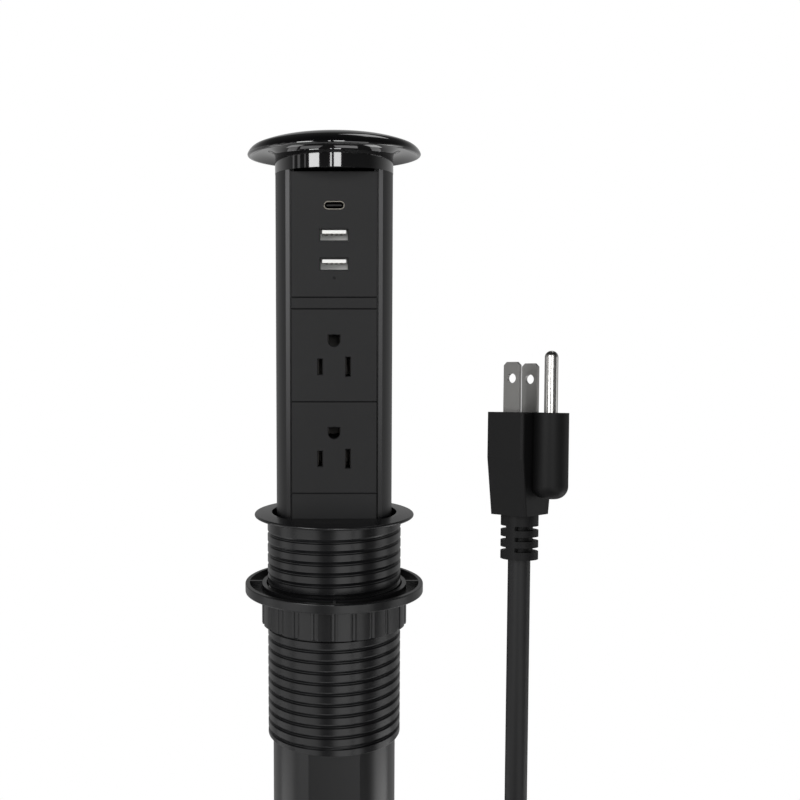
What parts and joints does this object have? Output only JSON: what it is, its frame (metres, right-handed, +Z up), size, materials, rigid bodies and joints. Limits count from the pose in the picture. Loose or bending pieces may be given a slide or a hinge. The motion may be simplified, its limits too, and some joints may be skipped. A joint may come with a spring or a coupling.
{
  "type": "pop up desk socket",
  "caption": "Round power tower that slides up out of a desk hole, with grounded outlets, charging ports, a domed pull cap, a desk clamp and a power cord.",
  "frame": {"origin": "centre of the desk hole on the desk's top face, where the collar rests", "axes": "+Z up along the tower, -Y towards the front with the outlets, +X to the right seen from the front"},
  "size_m": [0.219, 0.1995, 0.5762],
  "materials": {
    "gloss_black": "polished black plastic",
    "collar_black": "semi-gloss black plastic",
    "shell_grey": "satin black anodised extrusion",
    "panel_black": "fine matte black plastic",
    "housing_black": "matte black plastic",
    "inner_white": "moulded insulating plastic",
    "contact_metal": "spring brass",
    "shell_metal": "tinned sheet steel",
    "blade_metal": "nickel plated brass",
    "screw_steel": "zinc plated steel",
    "board_green": "coated circuit board",
    "chip_black": "moulded chip package",
    "coil_yellow": "taped transformer",
    "capacitor_silver": "aluminium can",
    "pilot_clear": "clear light pipe",
    "cord_black": "flexible black jacket",
    "plug_black": "moulded black plug",
    "slide_plastic": "low friction glide plastic",
    "tie_black": "cord tie"
  },
  "bodies": {
    "housing": {"threaded_sleeve": "collar_black", "guide_tube": "housing_black", "guide_key": "slide_plastic", "key_screws": "screw_steel", "end_cap": "housing_black", "end_cap_screws": "screw_steel", "cord_gland": "housing_black", "gland_nut": "housing_black", "cord_tail": "cord_black", "cord_coil": "cord_black", "cord_tie": "tie_black", "cord_run": "cord_black", "plug_strain_relief": "plug_black", "plug_body": "plug_black", "line_blade": "blade_metal", "neutral_blade": "blade_metal", "ground_pin": "blade_metal"},
    "clamp_ring": {"clamp_ring": "housing_black"},
    "lock_nut": {"lock_nut": "housing_black"},
    "tower": {"cap_dome": "gloss_black", "cap_neck": "gloss_black", "cap_screws": "screw_steel", "tower_shell": "shell_grey", "usb_panel": "panel_black", "spacer_panel": "panel_black", "upper_outlet_face": "panel_black", "lower_outlet_face": "panel_black", "blank_panel": "panel_black", "outlet_housings": "chip_black", "line_contacts": "contact_metal", "neutral_contacts": "contact_metal", "ground_contacts": "contact_metal", "line_busbar": "contact_metal", "neutral_busbar": "contact_metal", "ground_busbar": "contact_metal", "usb_c_shell": "shell_metal", "usb_c_tongue": "chip_black", "usb_a_shells": "shell_metal", "usb_a_tongues": "inner_white", "usb_a_contacts": "contact_metal", "led_light_pipe": "pilot_clear", "usb_board": "board_green", "board_screws": "screw_steel", "transformer": "coil_yellow", "capacitors": "capacitor_silver", "rectifier_chips": "chip_black", "feed_wires": "cord_black", "charger_wires": "cord_black", "tower_base": "housing_black", "base_screws": "screw_steel", "glide_ring": "slide_plastic", "lead_bushing": "cord_black", "inner_lead": "cord_black"}
  },
  "joints": [
    {"name": "tower_slide", "type": "slide", "parent": "housing", "child": "tower", "axis": [0, 0, 1], "range_m": [-0.1575, 0], "deforming": ["inner_lead"]},
    {"name": "clamp_slide", "type": "slide", "parent": "housing", "child": "clamp_ring", "axis": [0, 0, 1], "range_m": [-0.05, 0.023]},
    {"name": "nut_turn", "type": "hinge", "parent": "clamp_ring", "child": "lock_nut", "pos_m": [0, 0, -0.0434], "axis": [0, 0, 1], "range_deg": [-3600, 1656]}
  ],
  "couplings": [
    {"joint": "nut_turn", "follows": "clamp_slide", "rad_per_m": 1256.6}
  ]
}
